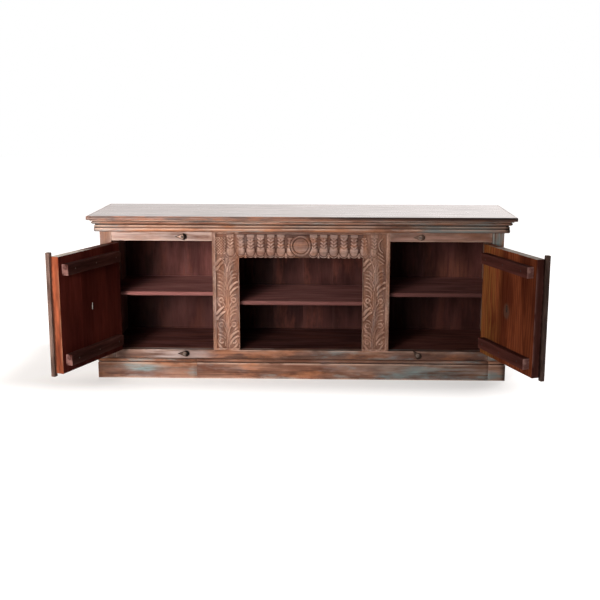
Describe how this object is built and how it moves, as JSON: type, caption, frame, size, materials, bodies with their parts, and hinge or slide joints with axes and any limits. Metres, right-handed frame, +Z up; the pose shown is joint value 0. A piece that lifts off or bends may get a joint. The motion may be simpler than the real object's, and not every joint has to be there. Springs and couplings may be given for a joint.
{
  "type": "tv cabinet",
  "caption": "Long low wooden media cabinet with a carved open centre bay, shelves, plank doors on butt hinges, turn latches and ring pulls.",
  "frame": {"origin": "on the floor, at the middle of the plinth's outline, under the centre bearer", "axes": "+X along the front to the viewer's right, +Y to the back, +Z up; the doors rest open"},
  "size_m": [1.8618, 0.828, 0.68],
  "materials": {
    "weathered_wood": "worn paint over old wood",
    "top_wood": "satin lacquer",
    "stained_wood": "dark stain",
    "shelf_wood": "dark stain, worn front edge",
    "door_wood": "dark stain",
    "black_iron": "blackened",
    "screw_steel": "dull"
  },
  "bodies": {
    "cabinet": {"back_boards": "stained_wood", "back_rails": "stained_wood", "bottom_rail": "weathered_wood", "carved_header": "weathered_wood", "carved_pillar_left": "weathered_wood", "carved_pillar_right": "weathered_wood", "cornice_front": "weathered_wood", "cornice_left": "weathered_wood", "cornice_right": "weathered_wood", "floor_board": "stained_wood", "hinge_leaves_left": "black_iron", "hinge_leaves_right": "black_iron", "hinge_pins_left": "black_iron", "hinge_pins_right": "black_iron", "hinge_screws": "screw_steel", "latch_screws": "screw_steel", "latch_washers": "black_iron", "partition_left": "stained_wood", "partition_right": "stained_wood", "plinth_back": "stained_wood", "plinth_bearers": "stained_wood", "plinth_front": "weathered_wood", "plinth_left": "weathered_wood", "plinth_right": "weathered_wood", "shelf_centre": "shelf_wood", "shelf_cleats": "stained_wood", "shelf_left": "shelf_wood", "shelf_right": "shelf_wood", "side_boards_left": "weathered_wood", "side_boards_right": "weathered_wood", "stile_left": "weathered_wood", "stile_right": "weathered_wood", "top_boards": "top_wood", "top_rail_left": "weathered_wood", "top_rail_right": "weathered_wood"},
    "door_left": {"door_left_batten_bottom": "door_wood", "door_left_batten_top": "door_wood", "door_left_boards": "door_wood", "door_left_border": "door_wood", "door_left_cover_bar": "door_wood", "door_left_hinge_leaves": "black_iron", "door_left_pull_plate": "black_iron", "door_left_pull_staple": "black_iron", "door_left_screws": "screw_steel"},
    "pull_ring_left": {"door_left_pull_ring": "black_iron"},
    "door_right": {"door_right_batten_bottom": "door_wood", "door_right_batten_top": "door_wood", "door_right_boards": "door_wood", "door_right_border": "door_wood", "door_right_cover_bar": "door_wood", "door_right_hinge_leaves": "black_iron", "door_right_pull_plate": "black_iron", "door_right_pull_staple": "black_iron", "door_right_screws": "screw_steel"},
    "pull_ring_right": {"door_right_pull_ring": "black_iron"},
    "latch_top_left": {"latch_top_left": "weathered_wood"},
    "latch_bottom_left": {"latch_bottom_left": "weathered_wood"},
    "latch_top_right": {"latch_top_right": "weathered_wood"},
    "latch_bottom_right": {"latch_bottom_right": "weathered_wood"}
  },
  "joints": [
    {"name": "door_left_hinge", "type": "hinge", "parent": "cabinet", "child": "door_left", "pos_m": [-0.774, -0.2075, 0.347], "axis": [0, 0, -1], "range_deg": [-111.7, 58.3]},
    {"name": "pull_ring_left_swing", "type": "hinge", "parent": "door_left", "child": "pull_ring_left", "pos_m": [-0.85445, -0.39532, 0.347], "axis": [0.3697, 0.9291, 0], "range_deg": [0, 100]},
    {"name": "door_right_hinge", "type": "hinge", "parent": "cabinet", "child": "door_right", "pos_m": [0.774, -0.2075, 0.347], "axis": [0, 0, 1], "range_deg": [-109.6, 60.4]},
    {"name": "pull_ring_right_swing", "type": "hinge", "parent": "door_right", "child": "pull_ring_right", "pos_m": [0.84751, -0.39814, 0.347], "axis": [0.3355, -0.9421, 0], "range_deg": [0, 100]},
    {"name": "latch_top_left_turn", "type": "hinge", "parent": "cabinet", "child": "latch_top_left", "pos_m": [-0.484, -0.2015, 0.5935], "axis": [0, -1, 0], "range_deg": [0, 180]},
    {"name": "latch_bottom_left_turn", "type": "hinge", "parent": "cabinet", "child": "latch_bottom_left", "pos_m": [-0.484, -0.2015, 0.10145], "axis": [0, 1, 0], "range_deg": [0, 180]},
    {"name": "latch_top_right_turn", "type": "hinge", "parent": "cabinet", "child": "latch_top_right", "pos_m": [0.484, -0.2015, 0.5935], "axis": [0, -1, 0], "range_deg": [0, 180]},
    {"name": "latch_bottom_right_turn", "type": "hinge", "parent": "cabinet", "child": "latch_bottom_right", "pos_m": [0.484, -0.2015, 0.10145], "axis": [0, 1, 0], "range_deg": [-45, 135]}
  ]
}
